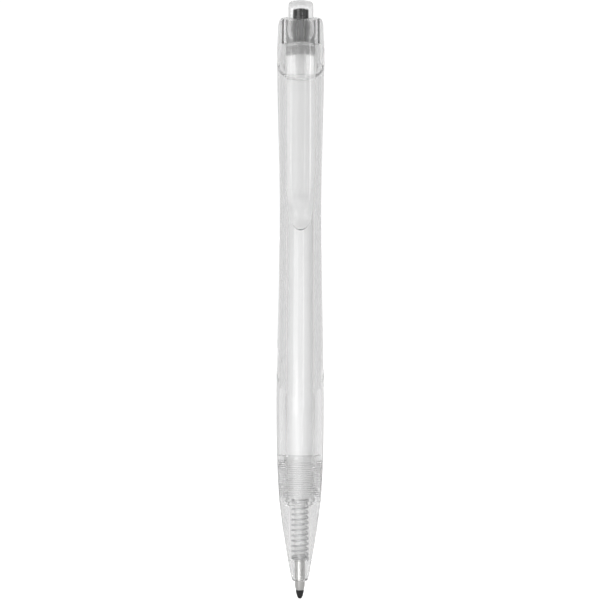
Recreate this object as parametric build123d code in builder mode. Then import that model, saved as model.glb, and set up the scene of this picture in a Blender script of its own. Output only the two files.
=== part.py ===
from build123d import *
import os
from math import cos, pi, radians, sin, sqrt, tan

# Clear click ballpoint pen, stood upright on its axis and shown in the writing position.
# The origin is the end of the point, +Z runs up the axis to the button, and the clip faces -Y.
# Lengths are in millimetres, angles in degrees.

# Clearances that the fits share
slide_gap = 0.1
press_gap = 0.03
seam_gap = 0.08
overrun = 1.0

# Point and refill nozzle
tip_reach = 4.2
tip_recess = 0.4
tip_radius = 1.18
tip_cone_height = 3.0
tip_rim_radius = 0.57
tip_rim_drop = 0.1
tip_length = 13.5
tip_shank_radius = 0.95
ball_radius = 0.5
ball_gap = 0.03
tip_channel_radius = 0.3
seal_skin = 0.12
seal_height = 2.0
nozzle_radius = 1.36
nozzle_rise = 1.4
nozzle_channel_radius = 0.6
holder_flange = 2.0
holder_spigot = 5.0

# Refill
refill_radius = 2.9
refill_wall = 0.65
refill_length = 70.6
plug_length = 5.0
vent_radius = 0.4
ink_length = 48.0

# Nose cone
nose_length = 19.0
nose_lip_radius = 1.88
nose_lip_round = 0.4
nose_bulge = 0.19
nose_bore_length = 4.9
chamber_foot_radius = 2.25
chamber_top_radius = 2.6
refill_shoulder_rise = 0.7
press_depth = 1.0
spigot_length = 10.6
spigot_radius = 3.8
thread_pitch = 1.0
thread_depth = 0.3
thread_lead = 0.9
thread_crest_share = 0.1
thread_root_share = 0.36

# Return spring
spring_radius = 1.9
spring_wire = 0.42
spring_bend_radius = 0.5
spring_quarter_turns = 42

# Barrel
barrel_length = 107.6
barrel_end_radius = 4.85
grip_radius = 5.57
waist_radius = 4.9
shoulder_radius = 5.59
bore_radius = 3.2
socket_floor_gap = 0.2
grip_step = 0.1
grip_line_height = 30.8
grip_line_tilt = 44.0
cap_spigot_radius = 4.6
outline_height_shares = (0.067, 0.198, 0.33, 0.484, 0.6375, 0.791)
grip_rise_share = 0.56
upper_grip_share = 0.79
lower_waist_share = 0.28
upper_waist_share = 0.435

# Cap, with its guide ribs
cap_skirt = 4.8
cap_edge_tilt = 37.0
cap_top_radius = 5.17
cap_crown_wall = 1.1
cap_crown_slope = 0.3
cap_crown_radius = 4.3
cap_top_tilt = 15.0
cap_taper_start = 1.2
groove_radius = 3.55
groove_width = 1.9

# Pocket clip
clip_width = 6.9
clip_length = 50.6
clip_thickness = 1.4
clip_gap = 1.0
clip_bump_gap = 0.2
clip_tilt = 11.0
clip_root_drop = 7.1
clip_top_drop = 1.0
clip_shoulder_drop = 17.0
clip_crown = 0.45
clip_end_length = 10.0
clip_bump_share = 0.33
clip_end_depth_share = 0.45
clip_end_width_share = 0.76
clip_end_height_share = 0.38
clip_brow_shares = (0.8, 0.36)

# Button, plunger and cam rotor
button_stand = 3.7
button_radius = 2.94
button_taper = 0.1
button_dome = 0.7
button_roof = 1.8
button_skirt_gap = 0.35
stem_radius = 1.16
stem_round = 0.3
body_radius = 2.25
collar_radius = 2.8
collar_height = 0.75
crown_bore_radius = 1.1
tooth_count = 4
tooth_depth_share = 0.8
notch_width_share = 0.85
fin_root_radius = 2.3
fin_radius = 3.35
fin_width = 1.5
latch_gap = 0.15
crown_gap = 0.2
rotor_height = 2.3
rotor_gap = 0.06
rotor_room_depth = 4.0
neck_radius = 1.0
neck_length = 4.9
neck_pin_radius = 0.7
neck_pin_length = 1.4
push_tube_wall = 0.8
push_tube_roof = 1.5

# Heights along the axis, worked up from the point
ball_height = seal_skin + ball_gap + ball_radius
tip_rim = ball_height - tip_rim_drop
nose_end = tip_reach
spring_seat = nose_end + nose_bore_length
nozzle_foot = spring_seat + nozzle_rise
nose_top = nose_end + nose_length
spring_top = nose_top + refill_shoulder_rise
chamber_top = nose_top - press_depth
spigot_top = nose_top + spigot_length
refill_foot = spring_top + holder_flange
holder_top = refill_foot + holder_spigot
refill_top = refill_foot + refill_length
barrel_rim = nose_top + barrel_length
rib_end = barrel_rim + seam_gap
fin_top = rib_end - latch_gap
rotor_foot = fin_top - rotor_height
crown_tip = fin_top + crown_gap
collar_top = crown_tip + collar_height
click_travel = tip_reach + tip_recess
cap_ceiling = collar_top + click_travel + slide_gap / 2
cap_top = cap_ceiling + cap_crown_wall
button_top = cap_top + button_stand
button_foot = collar_top + button_skirt_gap
stem_top = button_top - button_roof
grip_line = nose_top + grip_line_height
cap_edge = barrel_rim - cap_skirt
neck_top = rotor_foot - rotor_gap
neck_foot = neck_top - neck_length
rotor_room_foot = rotor_foot - press_depth - rotor_room_depth
clip_end = cap_top - clip_length

# Fits worked out from the mating pieces
ball_socket_radius = ball_radius + ball_gap
tip_bore_radius = tip_radius + slide_gap
nose_top_radius = barrel_end_radius + grip_step
refill_bore_radius = refill_radius - refill_wall
guide_radius = button_radius + slide_gap
tooth_depth = collar_height * tooth_depth_share
spring_height = spring_top - spring_seat
spring_quarter_rise = (spring_height - 2 * (spring_wire + spring_bend_radius)) / spring_quarter_turns


def turned_profile(points):
    """Closed outline in radius and height, ready to be turned about the axis."""
    with BuildSketch(Plane.XZ) as profile:
        with BuildLine():
            Polyline(*points, close=True)
        make_face()
    return profile.sketch


def turned_tube(inner, outer, foot, top):
    """Outline of a plain tube, or of a rod where the inner radius is zero."""
    return turned_profile([(inner, foot), (outer, foot), (outer, top), (inner, top)])


def slanted_plane(height, tilt):
    """Plane that crosses the axis at a height and is lower at the front than at the back."""
    return Plane((0, 0, height), x_dir=(1, 0, 0), z_dir=(0, -sin(radians(tilt)), cos(radians(tilt))))


def between(low, high, share):
    """Value that lies a share of the way from low to high."""
    return low + (high - low) * share


def barrel_outline(step):
    """Half outline of the barrel's outside, raised by a step and closed along the axis."""
    radii = (
        between(barrel_end_radius, grip_radius, grip_rise_share),
        grip_radius,
        between(waist_radius, grip_radius, upper_grip_share),
        between(waist_radius, grip_radius, lower_waist_share),
        waist_radius,
        between(waist_radius, shoulder_radius, upper_waist_share),
    )
    heights = [nose_top + barrel_length * share for share in outline_height_shares]
    points = [(barrel_end_radius + step, nose_top)]
    points += [(radius + step, height) for radius, height in zip(radii, heights)]
    points.append((shoulder_radius + step, cap_edge))
    with BuildSketch(Plane.XZ) as profile:
        with BuildLine():
            Spline(*points)
            Polyline(points[-1], (points[-1][0], barrel_rim), (0, barrel_rim), (0, nose_top), points[0])
        make_face()
    return profile.sketch


def thread_ridge(gap):
    """Helical ridge of the nose thread, fattened by a gap for the thread cut in the barrel."""
    crest = thread_pitch * thread_crest_share + gap
    root = thread_pitch * thread_root_share + gap
    with BuildPart() as ridge:
        with BuildLine() as path:
            Helix(
                pitch=thread_pitch,
                height=spigot_length - 2 * thread_lead,
                radius=spigot_radius,
                center=(0, 0, nose_top + thread_lead),
            )
        with BuildSketch(Plane(path.line @ 0, x_dir=(1, 0, 0), z_dir=path.line % 0)):
            with BuildLine():
                Polyline(
                    (-thread_depth / 2, -root),
                    (thread_depth + gap, -crest),
                    (thread_depth + gap, crest),
                    (-thread_depth / 2, root),
                    close=True,
                )
            make_face()
        sweep(path=path.line, is_frenet=True)
    return ridge.part


def tooth_notch(tip):
    """Prism that cuts one V notch between two crown teeth, pointing up from the tooth tips."""
    half = collar_radius * sin(pi / tooth_count) * notch_width_share
    below = tip - overrun
    with BuildPart() as notch:
        with BuildSketch(Plane.YZ):
            with BuildLine():
                Polyline(
                    (-half, below),
                    (half, below),
                    (half, tip),
                    (0, tip + tooth_depth),
                    (-half, tip),
                    close=True,
                )
            make_face()
        extrude(amount=collar_radius + overrun)
    return notch.part


def spring_point(quarter):
    """Point of the spring wire's centre line after a number of quarter turns."""
    angle = quarter * pi / 2
    height = spring_seat + spring_wire + spring_bend_radius + quarter * spring_quarter_rise
    return Vector(spring_radius * cos(angle), spring_radius * sin(angle), height)


def spring_heading(quarter):
    """Direction of the spring wire at that point."""
    angle = quarter * pi / 2
    level = spring_radius * pi / 2
    return Vector(-level * sin(angle), level * cos(angle), spring_quarter_rise).normalized()


def spring_bend(quarter, side):
    """Far end of the bend between the helix and a straight end, below it (-1) or above it (1)."""
    heading = spring_heading(quarter)
    level = Vector(heading.X, heading.Y, 0).normalized()
    across = level * (1 - heading.Z) + Vector(0, 0, level.dot(heading))
    return spring_point(quarter) + across * spring_bend_radius * side


def biarc_joint(start, start_heading, end, end_heading):
    """Point and heading where two arcs of equal tangent length meet between two headed points."""
    chord = end - start
    both = start_heading + end_heading
    reach = chord.dot(both)
    excess = 4 - both.dot(both)
    length = (sqrt(reach * reach + excess * chord.dot(chord)) - reach) / excess
    point = (start + end + (start_heading - end_heading) * length) / 2
    return point, chord - both * length


def spring_self_gap():
    """Least gap between the wire and itself, measured on points of its centre line."""
    steps_in_quarter = 8
    count = spring_quarter_turns * steps_in_quarter
    points = [spring_point(step / steps_in_quarter) for step in range(count + 1)]
    apart = 2 * steps_in_quarter
    near = min((a - b).length for i, a in enumerate(points) for b in points[i + apart :])
    return near - spring_wire


os.makedirs("parts", exist_ok=True)

# Barrel: turned body, proud grip below a slanted line, threaded socket and a spigot for the cap
with BuildPart() as barrel:
    revolve(barrel_outline(grip_step), axis=Axis.Z)
    split(bisect_by=slanted_plane(grip_line, grip_line_tilt), keep=Keep.BOTTOM)
    revolve(barrel_outline(0), axis=Axis.Z)
    split(bisect_by=slanted_plane(cap_edge, cap_edge_tilt), keep=Keep.BOTTOM)
    revolve(turned_tube(0, cap_spigot_radius, nose_top, barrel_rim), axis=Axis.Z)
    for radius, foot, top in (
        (bore_radius, nose_top - overrun, barrel_rim + overrun),
        (spigot_radius + slide_gap / 2, nose_top - overrun, spigot_top + socket_floor_gap),
        (groove_radius, rotor_room_foot, barrel_rim + overrun),
    ):
        revolve(turned_tube(0, radius, foot, top), axis=Axis.Z, mode=Mode.SUBTRACT)
    add(thread_ridge(slide_gap / 2), mode=Mode.SUBTRACT)
barrel.part.label = "barrel"
export_step(barrel.part, "parts/barrel.step")

# Nose cone: bulged cone with a spring chamber and a threaded spigot
with BuildPart() as nose_cone:
    lip = (nose_lip_radius, nose_end)
    nose_rim = (nose_top_radius, nose_top)
    nose_middle = ((nose_lip_radius + nose_top_radius) / 2 + nose_bulge, (nose_end + nose_top) / 2)
    with BuildSketch(Plane.XZ):
        with BuildLine():
            ThreePointArc(lip, nose_middle, nose_rim)
            Polyline(
                nose_rim,
                (spigot_radius, nose_top),
                (spigot_radius, spigot_top),
                (bore_radius, spigot_top),
                (bore_radius, chamber_top),
                (chamber_top_radius, chamber_top),
                (chamber_foot_radius, spring_seat),
                (tip_bore_radius, spring_seat),
                (tip_bore_radius, nose_end),
                lip,
            )
        make_face()
    revolve(axis=Axis.Z)
    lip_wall = nose_lip_radius - tip_bore_radius
    lip_edge = nose_cone.edges().group_by(Axis.Z)[0].sort_by(SortBy.RADIUS)[-1]
    fillet(lip_edge, radius=min(nose_lip_round, lip_wall / 2))
    add(thread_ridge(0))
nose_cone.part.label = "nose_cone"
export_step(nose_cone.part, "parts/nose_cone.step")

# Return spring: one round wire wound up a helix, its ends turned square onto their seats
spring_foot_bend = spring_bend(0, -1)
spring_foot_end = Vector(spring_foot_bend.X, spring_foot_bend.Y, spring_seat)
spring_top_bend = spring_bend(spring_quarter_turns, 1)
with BuildPart() as spring:
    with BuildLine() as wire_path:
        Line(spring_foot_end, spring_foot_bend)
        TangentArc(spring_foot_bend, spring_point(0), tangent=(0, 0, 1))
        for quarter in range(spring_quarter_turns):
            start, start_heading = spring_point(quarter), spring_heading(quarter)
            end, end_heading = spring_point(quarter + 1), spring_heading(quarter + 1)
            joint, joint_heading = biarc_joint(start, start_heading, end, end_heading)
            TangentArc(start, joint, tangent=start_heading)
            TangentArc(joint, end, tangent=joint_heading)
        TangentArc(end, spring_top_bend, tangent=end_heading)
        Line(spring_top_bend, (spring_top_bend.X, spring_top_bend.Y, spring_top))
    with BuildSketch(Plane(spring_foot_end)):
        Circle(spring_wire / 2)
    sweep(path=wire_path.wires()[0])
spring.part.label = "spring"
export_step(spring.part, "parts/spring.step")
print("spring gap to itself", round(spring_self_gap(), 3), "mm")

# Clip: its side outline drawn across the pen, trimmed by its front outline
clip_back = -(shoulder_radius + clip_gap)
clip_front = clip_back - clip_thickness
clip_bump = -(waist_radius + clip_bump_gap)
clip_tip = between(clip_bump, clip_front, clip_end_depth_share)
clip_root = cap_top - clip_root_drop
clip_slope = tan(radians(clip_tilt))
clip_taper = clip_end + clip_end_length
clip_head = cap_top - clip_top_drop
clip_anchor = -shoulder_radius + (clip_head - clip_root) * clip_slope
clip_brow = cap_top - clip_shoulder_drop
with BuildPart() as clip:
    with BuildSketch(Plane.YZ):
        with BuildLine():
            brow = (
                between(clip_anchor, clip_front, clip_brow_shares[0]),
                between(clip_head, clip_brow, clip_brow_shares[1]),
            )
            bump = (clip_bump, between(clip_end, clip_taper, clip_bump_share))
            Spline((clip_anchor, clip_head), brow, (clip_front, clip_brow), tangents=((-1, 0), (0, -1)))
            Line((clip_front, clip_brow), (clip_front, clip_taper))
            Spline((clip_front, clip_taper), (clip_tip, clip_end), tangents=((0, -1), (1, 0)))
            Spline((clip_tip, clip_end), bump, tangents=((1, 0), (0, 1)))
            Spline(bump, (clip_back, clip_taper), tangents=((0, 1), (0, 1)))
            Polyline(
                (clip_back, clip_taper),
                (clip_back, clip_root - clip_gap / clip_slope),
                (clip_anchor, clip_head),
            )
        make_face()
    extrude(amount=clip_width, both=True)
    with BuildSketch(Plane.XZ):
        with BuildLine():
            half = clip_width / 2
            waisted = (half * clip_end_width_share, between(clip_end, clip_taper, clip_end_height_share))
            Polyline((0, clip_end), (0, cap_top), (half, cap_top), (half, clip_taper))
            Spline((half, clip_taper), waisted, (0, clip_end), tangents=((0, -1), (-1, 0)))
        make_face()
        mirror(about=Plane.YZ)
    extrude(amount=-clip_front + overrun, mode=Mode.INTERSECT)
    with BuildSketch(Plane.XY.offset(clip_end)):
        with BuildLine():
            brink = clip_front + clip_crown
            ThreePointArc((-half, brink), (0, clip_front), (half, brink))
            Polyline((half, brink), (half, 0), (-half, 0), (-half, brink))
        make_face()
    extrude(amount=clip_length, mode=Mode.INTERSECT)

# Cap and clip in one moulding: domed crown cut down towards the clip, slanted skirt,
# guide bore with grooves between four ribs
with BuildPart() as clip_cap:
    with BuildSketch(Plane.XZ):
        with BuildLine():
            cap_shoulder = cap_top - cap_crown_wall
            cap_taper = (shoulder_radius, barrel_rim - cap_taper_start)
            Polyline((0, nose_top), (shoulder_radius, nose_top), cap_taper)
            Spline(
                cap_taper,
                (cap_top_radius, cap_shoulder),
                tangents=((0, 1), (cap_top_radius - shoulder_radius, cap_shoulder - barrel_rim)),
            )
            Spline(
                (cap_top_radius, cap_shoulder),
                (cap_crown_radius, cap_top - cap_crown_slope),
                tangents=(
                    (cap_top_radius - shoulder_radius, cap_shoulder - barrel_rim),
                    (-cap_crown_radius, cap_crown_slope),
                ),
            )
            Polyline(
                (cap_crown_radius, cap_top - cap_crown_slope),
                (guide_radius, cap_top),
                (0, cap_top),
                (0, nose_top),
            )
        make_face()
    revolve(axis=Axis.Z)
    split(bisect_by=slanted_plane(cap_edge + seam_gap, cap_edge_tilt), keep=Keep.TOP)
    add(clip.part)
    split(bisect_by=slanted_plane(cap_top, cap_top_tilt), keep=Keep.BOTTOM)
    for radius, foot, top in (
        (cap_spigot_radius + press_gap, cap_edge - shoulder_radius, rib_end),
        (guide_radius, rib_end - overrun, cap_top + overrun),
    ):
        revolve(turned_tube(0, radius, foot, top), axis=Axis.Z, mode=Mode.SUBTRACT)
    with Locations((0, 0, rib_end)), PolarLocations(0, tooth_count):
        Box(
            groove_radius,
            groove_width,
            cap_ceiling - rib_end,
            align=(Align.MIN, Align.CENTER, Align.MIN),
            mode=Mode.SUBTRACT,
        )
clip_cap.part.label = "clip_cap"
export_step(clip_cap.part, "parts/clip_cap.step")

# Push button: domed cap over the plunger, sliding in the guide bore
with BuildPart() as push_button:
    dome_rim = (button_radius - button_taper, button_top - button_dome)
    with BuildSketch(Plane.XZ):
        with BuildLine():
            Polyline(
                dome_rim,
                (button_radius, cap_top),
                (button_radius, button_foot),
                (0, button_foot),
                (0, button_top),
            )
            Spline((0, button_top), dome_rim, tangents=((1, 0), (0, -1)))
        make_face()
    revolve(axis=Axis.Z)
    for radius, top in ((body_radius, cap_ceiling), (stem_radius, stem_top)):
        revolve(
            turned_tube(0, radius + press_gap, button_foot - overrun, top + press_gap),
            axis=Axis.Z,
            mode=Mode.SUBTRACT,
        )
push_button.part.label = "push_button"
export_step(push_button.part, "parts/push_button.step")

# Plunger: stem in the button, a collar that stops under the crown, lugs in the grooves, teeth below
with BuildPart() as plunger:
    revolve(turned_tube(0, stem_radius, crown_tip, stem_top), axis=Axis.Z)
    fillet(plunger.edges().group_by(Axis.Z)[-1], radius=min(stem_round, stem_radius / 2))
    revolve(turned_tube(0, body_radius, crown_tip, cap_ceiling), axis=Axis.Z)
    revolve(turned_tube(0, collar_radius, crown_tip, collar_top), axis=Axis.Z)
    revolve(
        turned_tube(0, crown_bore_radius, crown_tip - overrun, crown_tip + tooth_depth),
        axis=Axis.Z,
        mode=Mode.SUBTRACT,
    )
    with PolarLocations(0, tooth_count, start_angle=180 / tooth_count):
        add(tooth_notch(crown_tip), mode=Mode.SUBTRACT)
    with Locations((0, 0, crown_tip + slide_gap / 2)), PolarLocations(fin_root_radius, tooth_count):
        Box(
            fin_radius - fin_root_radius,
            fin_width,
            collar_height - slide_gap / 2,
            align=(Align.MIN, Align.CENTER, Align.MIN),
        )
plunger.part.label = "plunger"
export_step(plunger.part, "parts/plunger.step")

# Cam rotor: hub with a toothed crown, fins that ride in the same grooves, and a bore for its pin
with BuildPart() as cam_rotor:
    revolve(turned_tube(0, collar_radius, rotor_foot, fin_top), axis=Axis.Z)
    revolve(
        turned_tube(0, crown_bore_radius, fin_top - tooth_depth, fin_top + overrun),
        axis=Axis.Z,
        mode=Mode.SUBTRACT,
    )
    with Locations((0, 0, 2 * fin_top)), PolarLocations(0, tooth_count, start_angle=180 / tooth_count):
        add(tooth_notch(fin_top), rotation=(180, 0, 0), mode=Mode.SUBTRACT)
    with Locations((0, 0, rotor_foot)), PolarLocations(fin_root_radius, tooth_count):
        Box(
            fin_radius - fin_root_radius,
            fin_width,
            rotor_height,
            align=(Align.MIN, Align.CENTER, Align.MIN),
        )
    revolve(
        turned_tube(0, neck_pin_radius + rotor_gap, rotor_foot - overrun, fin_top),
        axis=Axis.Z,
        mode=Mode.SUBTRACT,
    )
cam_rotor.part.label = "cam_rotor"
export_step(cam_rotor.part, "parts/cam_rotor.step")

# Push tube: stands on the refill, with a neck and a pin that carry the rotor
with BuildPart() as push_tube:
    for radius, top in (
        (refill_radius, neck_foot),
        (neck_radius, neck_top),
        (neck_pin_radius, neck_top + neck_pin_length),
    ):
        revolve(turned_tube(0, radius, refill_top, top), axis=Axis.Z)
    revolve(
        turned_tube(0, refill_radius - push_tube_wall, refill_top - overrun, neck_foot - push_tube_roof),
        axis=Axis.Z,
        mode=Mode.SUBTRACT,
    )
push_tube.part.label = "push_tube"
export_step(push_tube.part, "parts/push_tube.step")

# Refill: tube, vented plug in its top and ink over the holder
with BuildPart() as refill_tube:
    revolve(turned_tube(refill_bore_radius, refill_radius, refill_foot, refill_top), axis=Axis.Z)
refill_tube.part.label = "refill_tube"
export_step(refill_tube.part, "parts/refill_tube.step")

with BuildPart() as refill_plug:
    plug_foot = refill_top - plug_length
    revolve(turned_tube(vent_radius, refill_bore_radius - press_gap, plug_foot, refill_top), axis=Axis.Z)
refill_plug.part.label = "refill_plug"
export_step(refill_plug.part, "parts/refill_plug.step")

with BuildPart() as ink_column:
    revolve(turned_tube(0, refill_bore_radius - press_gap, holder_top, holder_top + ink_length), axis=Axis.Z)
ink_column.part.label = "ink_column"
export_step(ink_column.part, "parts/ink_column.step")

# Tip holder: nozzle inside the spring, a flange that the spring pushes on and a spigot in the tube
with BuildPart() as tip_holder:
    shank_top = tip_length + press_gap
    revolve(
        turned_profile(
            [
                (tip_shank_radius + press_gap, nozzle_foot),
                (nozzle_radius, nozzle_foot),
                (nozzle_radius, spring_top),
                (refill_radius, spring_top),
                (refill_radius, refill_foot),
                (refill_bore_radius - press_gap, refill_foot),
                (refill_bore_radius - press_gap, holder_top),
                (nozzle_channel_radius, holder_top),
                (nozzle_channel_radius, shank_top),
                (tip_shank_radius + press_gap, shank_top),
            ]
        ),
        axis=Axis.Z,
    )
tip_holder.part.label = "tip_holder"
export_step(tip_holder.part, "parts/tip_holder.step")

# Writing tip: metal cone and shank with an ink channel that ends in the ball's socket
with BuildPart() as writing_tip:
    socket_rim = (sqrt(ball_socket_radius**2 - tip_rim_drop**2), tip_rim)
    socket_throat = (tip_channel_radius, ball_height + sqrt(ball_socket_radius**2 - tip_channel_radius**2))
    socket_side = (ball_socket_radius, ball_height)
    with BuildSketch(Plane.XZ):
        with BuildLine():
            ThreePointArc(socket_rim, socket_side, socket_throat)
            Polyline(
                socket_throat,
                (tip_channel_radius, tip_length),
                (tip_shank_radius, tip_length),
                (tip_shank_radius, nozzle_foot),
                (tip_radius, nozzle_foot),
                (tip_radius, tip_cone_height),
                (tip_rim_radius, tip_rim),
                socket_rim,
            )
        make_face()
    revolve(axis=Axis.Z)
writing_tip.part.label = "writing_tip"
export_step(writing_tip.part, "parts/writing_tip.step")

with BuildPart() as writing_ball:
    with Locations((0, 0, ball_height)):
        Sphere(ball_radius)
writing_ball.part.label = "writing_ball"
export_step(writing_ball.part, "parts/writing_ball.step")

# Tip seal: a bead over the cone and the ball, thinning out up the cone
with BuildPart() as tip_seal:
    cone_share = (seal_height - tip_rim) / (tip_cone_height - tip_rim)
    cone_radius = between(tip_rim_radius, tip_radius, cone_share) + press_gap
    seal_side = (tip_rim_radius + press_gap + seal_skin / 2, tip_rim)
    cavity_rim = (sqrt(ball_socket_radius**2 - tip_rim_drop**2), tip_rim)
    cavity_side = (ball_socket_radius * sin(pi / 4), ball_height - ball_socket_radius * cos(pi / 4))
    with BuildSketch(Plane.XZ):
        with BuildLine():
            cone_heading = (tip_radius - tip_rim_radius, tip_cone_height - tip_rim)
            Spline((0, 0), seal_side, tangents=((1, 0), cone_heading))
            Polyline(
                seal_side,
                (cone_radius + seal_skin / 2, seal_height),
                (cone_radius, seal_height),
                (tip_rim_radius + press_gap, tip_rim),
                cavity_rim,
            )
            ThreePointArc(cavity_rim, cavity_side, (0, seal_skin))
            Line((0, seal_skin), (0, 0))
        make_face()
    revolve(axis=Axis.Z)
tip_seal.part.label = "tip_seal"
export_step(tip_seal.part, "parts/tip_seal.step")
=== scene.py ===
import math

import bpy
from bpy.props import FloatProperty, FloatVectorProperty, PointerProperty
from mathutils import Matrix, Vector


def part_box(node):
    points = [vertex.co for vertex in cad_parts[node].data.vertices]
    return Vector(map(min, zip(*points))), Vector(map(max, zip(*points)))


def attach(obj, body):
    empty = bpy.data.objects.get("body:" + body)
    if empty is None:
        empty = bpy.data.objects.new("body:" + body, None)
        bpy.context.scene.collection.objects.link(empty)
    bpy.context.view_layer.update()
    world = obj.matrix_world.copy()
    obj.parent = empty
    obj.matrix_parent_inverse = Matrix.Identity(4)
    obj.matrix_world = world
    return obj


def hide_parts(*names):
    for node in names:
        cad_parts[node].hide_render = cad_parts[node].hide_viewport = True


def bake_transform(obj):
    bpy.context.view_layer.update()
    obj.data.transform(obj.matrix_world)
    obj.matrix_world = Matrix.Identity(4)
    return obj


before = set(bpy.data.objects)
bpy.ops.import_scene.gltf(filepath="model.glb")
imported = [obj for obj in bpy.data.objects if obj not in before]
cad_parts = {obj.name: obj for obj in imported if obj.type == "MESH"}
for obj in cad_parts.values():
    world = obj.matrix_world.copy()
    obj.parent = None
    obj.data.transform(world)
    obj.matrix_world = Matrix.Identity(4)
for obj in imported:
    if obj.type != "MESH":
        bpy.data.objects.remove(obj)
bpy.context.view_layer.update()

bl_info = {
    "name": "Clear click pen",
    "version": (1, 0, 0),
    "blender": (4, 5, 0),
    "location": "View3D > Sidebar > Pen",
    "description": "Builds the looks of a clear click ballpoint pen round its packed CAD model",
    "category": "Object",
}

# Lengths are in metres and angles in degrees. The pen stands on its point, and its clip faces -Y.
MM = 0.001
SMOOTH = "AUTO"
CORNER = "VECTOR"
CURVE_STEPS = 6
ROUND_STEPS = 128
MERGE = 1e-6
SHARP_ANGLE = 32
EDGE_ANGLE = 40
EDGE_SEGMENTS = 2


def span(node):
    """Lowest and highest point of a CAD node."""
    low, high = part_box(node)
    return low.z, high.z


def reach(node):
    """Largest distance of a CAD node from the axis, seen from the front."""
    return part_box(node)[1].x


BARREL_FOOT, BARREL_RIM = span("barrel")
NOSE_END, SPIGOT_TOP = span("nose_cone")
CAP_TOP = span("clip_cap")[1]
BUTTON_FOOT, BUTTON_TOP = span("push_button")
CROWN_TIP, STEM_TOP = span("plunger")
ROTOR_FOOT, FIN_TOP = span("cam_rotor")
REFILL_TOP, NECK_PIN_TOP = span("push_tube")
REFILL_FOOT = span("refill_tube")[0]
SPRING_SEAT, SPRING_TOP = span("spring")
NOZZLE_FOOT, HOLDER_TOP = span("tip_holder")
TIP_RIM, TIP_SHANK_TOP = span("writing_tip")
SEAL_TOP = span("tip_seal")[1]
REFILL_RADIUS = reach("refill_tube")
BUTTON_RADIUS = reach("push_button")
FIN_RADIUS = reach("cam_rotor")
TIP_RADIUS = reach("writing_tip")

# Slant of the seam between the cap and the barrel
CAP_TILT = 37
# Plunger inside the button, and the bore for the refill through barrel and nose
PLUNGER_STEM = 1.16 * MM
PLUNGER_BODY = 2.25 * MM
PLUNGER_SHOULDER = 136.33 * MM
REFILL_BORE = 3.2 * MM
# Share of its radius by which the middle of a rounding is drawn in
ROUND_SHARE = 0.3


def length(name, description, millimetres):
    """Length property with its default given in millimetres."""
    return FloatProperty(
        name=name, description=description, default=millimetres * MM, min=0, precision=5, unit="LENGTH"
    )


def tint(name, description, default):
    """Colour property."""
    return FloatVectorProperty(
        name=name, description=description, default=default, size=3, min=0, max=1, subtype="COLOR"
    )


class PenSizes(bpy.types.PropertyGroup):
    """Sizes of the pen's outside that are drawn again over the CAD model."""

    end_radius: length("End radius", "Barrel radius where it meets the nose", 4.85)
    grip_radius: length("Grip radius", "Largest barrel radius at the grip", 5.555)
    waist_radius: length("Waist radius", "Barrel radius at the waist", 4.9)
    shoulder_radius: length("Shoulder radius", "Barrel radius under the cap", 5.59)
    grip_step: length("Grip step", "How far the grip stands proud below its slanted line", 0.1)
    cap_skirt: length("Cap skirt", "Height of the cap's lower edge below the barrel's rim", 4.8)
    clip_width: length("Clip width", "Width of the pocket clip", 6.9)
    wire: length("Spring wire", "Thickness of the spring's wire", 0.42)


class PenColours(bpy.types.PropertyGroup):
    """Colours of the pen's materials."""

    clear: tint("Clear plastic", "Tint of the clear mouldings", (0.96, 0.96, 0.96))
    button: tint("Button", "Tint of the clearer push button", (0.97, 0.97, 0.97))
    refill: tint("White plastic", "Colour of the refill", (0.9, 0.9, 0.9))
    mechanism: tint("Black plastic", "Colour of the click mechanism", (0.005, 0.005, 0.005))
    tip: tint("Tip metal", "Colour of the metal point", (0.56, 0.555, 0.545))
    steel: tint("Spring steel", "Colour of the spring", (0.57, 0.57, 0.58))
    ball: tint("Ball metal", "Colour of the ball in the point", (0.5, 0.5, 0.52))
    seal: tint("Sealing bead", "Colour of the bead over the point", (0.008, 0.008, 0.009))
    ink: tint("Ink", "Colour of the ink", (0.006, 0.006, 0.01))
    floor: tint("Floor", "Colour of the studio floor", (0.95, 0.95, 0.95))


# Node groups and materials

# Sockets of a colour Mix node: its two colours and its result
MIX_A, MIX_B, MIX_RESULT = 6, 7, 2
# Height of the bump of every finish
RELIEF = 0.02 * MM
# Clear plastic: light that goes through, range of roughness, unevenness, bending of light, shadow
CLEARNESS = 0.965
CLEAR_POLISH = 0.03, 0.07
CLEAR_SHADE = 0.985
CLEAR_SCALE = 120.0
CLEAR_BUMP = 0.004
CLEAR_IOR = 1.58
SHADOW_VEIL = 0.97, 0.97, 0.97, 1
# Frosted inside of the cap: how far from the axis it reaches, and its added roughness
FROST_RADIUS = 3.45 * MM
FROST = 0.3


def put(tree, kind, values=None, **settings):
    """Add a node, set its properties and give plain values to its inputs by name or number."""
    node = tree.nodes.new(kind)
    for key, value in settings.items():
        setattr(node, key, value)
    for key, value in (values or {}).items():
        node.inputs[key].default_value = value
    return node


def wire_up(tree, *pairs):
    """Link output sockets to input sockets, each pair given as (node, output, node, input)."""
    for source, output, target, entry in pairs:
        tree.links.new(source.outputs[output], target.inputs[entry])


def node_of(tree, kind):
    """The node of a type that a tree has only once."""
    return next(node for node in tree.nodes if node.type == kind)


def group_tree(name, inputs, outputs):
    """New shader node group with float inputs (name, default) and outputs, and its two end nodes."""
    tree = bpy.data.node_groups.new(name, "ShaderNodeTree")
    tree.interface.new_socket("Vector", in_out="INPUT", socket_type="NodeSocketVector")
    for key, default in inputs:
        socket = tree.interface.new_socket(key, in_out="INPUT", socket_type="NodeSocketFloat")
        socket.default_value = default
    for key in outputs:
        tree.interface.new_socket(key, in_out="OUTPUT", socket_type="NodeSocketFloat")
    return tree, put(tree, "NodeGroupInput"), put(tree, "NodeGroupOutput")


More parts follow.
